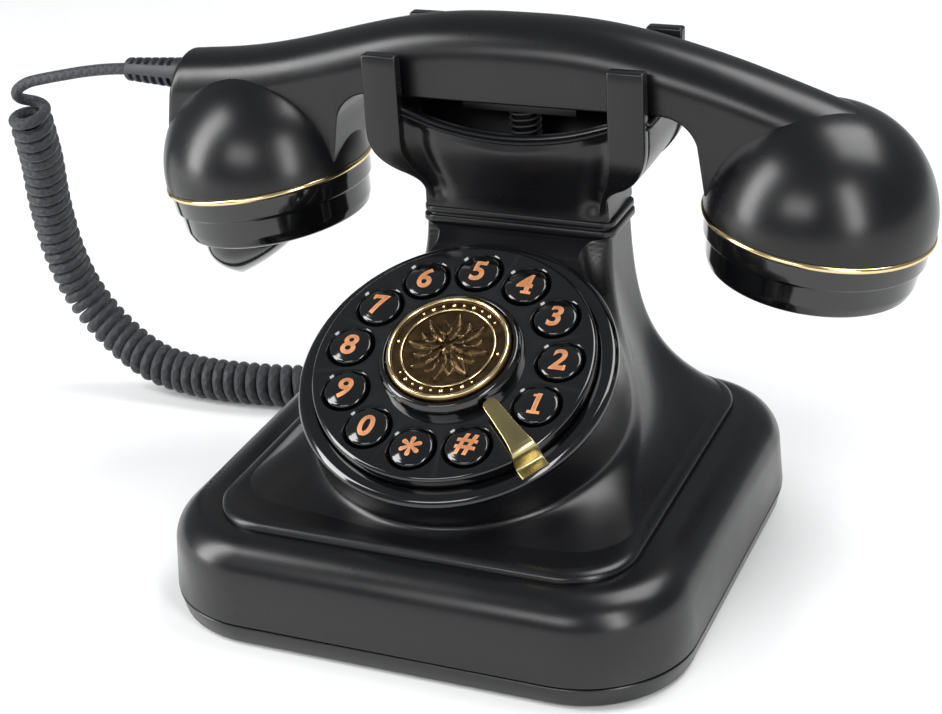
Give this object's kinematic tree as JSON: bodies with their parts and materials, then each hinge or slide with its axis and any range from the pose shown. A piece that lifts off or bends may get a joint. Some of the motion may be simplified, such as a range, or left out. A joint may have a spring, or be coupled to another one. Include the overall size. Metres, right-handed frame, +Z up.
{
  "type": "cradle telephone",
  "caption": "Desk telephone with a domed handset on a forked cradle, a sloping push-button dial with a rocking centre, a square flared base and a curly handset cord.",
  "frame": {"origin": "on the resting surface, under the middle of the base", "axes": "+X to the right of a person facing the dial, -Y to the front, +Z up"},
  "size_m": [0.2972, 0.1652, 0.1456],
  "materials": {
    "tray": "satin black moulding, underside of the base",
    "feet": "dark rubber",
    "steel": "zinc-plated steel",
    "circuit_board": "green solder mask",
    "component": "black moulded parts",
    "housing": "near-black plastic with a soft satin sheen",
    "membrane": "grey silicone",
    "gloss_black": "polished black",
    "key_cap": "polished black caps",
    "gilt": "polished gold-coloured plating",
    "bronze": "antique bronze with brighter raised edges",
    "cord": "dark slate braided sleeve",
    "cord_rubber": "dark slate moulded rubber",
    "plug": "dark modular plug",
    "numerals": "copper-coloured printed figures"
  },
  "bodies": {
    "base": {"bottom_tray": "tray", "rubber_feet": "feet", "tray_screws": "steel", "ballast_weight": "steel", "main_board": "circuit_board", "ringer": "component", "housing": "housing", "cradle": "housing", "cradle_screws": "steel", "hook_switch": "component", "hook_spring": "steel", "keypad_board": "circuit_board", "keypad_membrane": "membrane", "dial_ring": "gloss_black", "dial_disc": "gloss_black", "centre_bezel": "gloss_black", "finger_stop": "gilt", "handset_jack": "gloss_black", "line_jack": "gloss_black", "switch_body": "component", "coil": "cord", "base_lead": "cord", "base_plug": "plug"},
    "hook": {"hook_plunger": "housing"},
    "handset": {"handset_shell": "housing", "mouth_ring": "gilt", "ear_ring": "gilt", "mouth_cap": "gloss_black", "ear_cap": "gloss_black", "mouth_horn": "gloss_black", "microphone": "component", "ear_capsule": "component", "handset_weight": "steel", "handset_screws": "steel", "strain_relief": "cord_rubber", "handset_lead": "cord"},
    "rocker": {"medallion": "bronze", "medallion_pin": "steel"},
    "ringer_switch": {"ringer_slider": "gloss_black"},
    "key_1_body": {"key_1": "key_cap"},
    "key_2_body": {"key_2": "key_cap"},
    "key_3_body": {"key_3": "key_cap"},
    "key_4_body": {"key_4": "key_cap"},
    "key_5_body": {"key_5": "key_cap"},
    "key_6_body": {"key_6": "key_cap"},
    "key_7_body": {"key_7": "key_cap"},
    "key_8_body": {"key_8": "key_cap"},
    "key_9_body": {"key_9": "key_cap"},
    "key_0_body": {"key_0": "key_cap"},
    "key_star_body": {"key_star": "key_cap"},
    "key_hash_body": {"key_hash": "key_cap"}
  },
  "joints": [
    {"name": "handset_lift", "type": "slide", "parent": "base", "child": "handset", "axis": [0, 0, 1], "range_m": [0, 0.1], "deforming": ["coil"]},
    {"name": "hook_rise", "type": "slide", "parent": "base", "child": "hook", "axis": [0, 0, 1], "range_m": [0, 0.004], "deforming": ["hook_spring"]},
    {"name": "rocker_tilt", "type": "hinge", "parent": "base", "child": "rocker", "pos_m": [0, -0.01665, 0.06505], "axis": [1, 0, 0], "range_deg": [-2.5, 2.5], "stiffness_Nm_per_rad": 0.6},
    {"name": "ringer_slide", "type": "slide", "parent": "base", "child": "ringer_switch", "axis": [1, 0, 0], "range_m": [0, 0.0042]},
    {"name": "key_1_press", "type": "slide", "parent": "base", "child": "key_1_body", "axis": [0, 0.4602, -0.8878], "range_m": [0, 0.0015], "stiffness_N_per_m": 400, "springref_m": -0.0004},
    {"name": "key_2_press", "type": "slide", "parent": "base", "child": "key_2_body", "axis": [0, 0.4602, -0.8878], "range_m": [0, 0.0015], "stiffness_N_per_m": 400, "springref_m": -0.0004},
    {"name": "key_3_press", "type": "slide", "parent": "base", "child": "key_3_body", "axis": [0, 0.4602, -0.8878], "range_m": [0, 0.0015], "stiffness_N_per_m": 400, "springref_m": -0.0004},
    {"name": "key_4_press", "type": "slide", "parent": "base", "child": "key_4_body", "axis": [0, 0.4602, -0.8878], "range_m": [0, 0.0015], "stiffness_N_per_m": 400, "springref_m": -0.0004},
    {"name": "key_5_press", "type": "slide", "parent": "base", "child": "key_5_body", "axis": [0, 0.4602, -0.8878], "range_m": [0, 0.0015], "stiffness_N_per_m": 400, "springref_m": -0.0004},
    {"name": "key_6_press", "type": "slide", "parent": "base", "child": "key_6_body", "axis": [0, 0.4602, -0.8878], "range_m": [0, 0.0015], "stiffness_N_per_m": 400, "springref_m": -0.0004},
    {"name": "key_7_press", "type": "slide", "parent": "base", "child": "key_7_body", "axis": [0, 0.4602, -0.8878], "range_m": [0, 0.0015], "stiffness_N_per_m": 400, "springref_m": -0.0004},
    {"name": "key_8_press", "type": "slide", "parent": "base", "child": "key_8_body", "axis": [0, 0.4602, -0.8878], "range_m": [0, 0.0015], "stiffness_N_per_m": 400, "springref_m": -0.0004},
    {"name": "key_9_press", "type": "slide", "parent": "base", "child": "key_9_body", "axis": [0, 0.4602, -0.8878], "range_m": [0, 0.0015], "stiffness_N_per_m": 400, "springref_m": -0.0004},
    {"name": "key_0_press", "type": "slide", "parent": "base", "child": "key_0_body", "axis": [0, 0.4602, -0.8878], "range_m": [0, 0.0015], "stiffness_N_per_m": 400, "springref_m": -0.0004},
    {"name": "key_star_press", "type": "slide", "parent": "base", "child": "key_star_body", "axis": [0, 0.4602, -0.8878], "range_m": [0, 0.0015], "stiffness_N_per_m": 400, "springref_m": -0.0004},
    {"name": "key_hash_press", "type": "slide", "parent": "base", "child": "key_hash_body", "axis": [0, 0.4602, -0.8878], "range_m": [0, 0.0015], "stiffness_N_per_m": 400, "springref_m": -0.0004}
  ],
  "couplings": [
    {"joint": "hook_rise", "follows": "handset_lift", "ratio": 0.04}
  ]
}
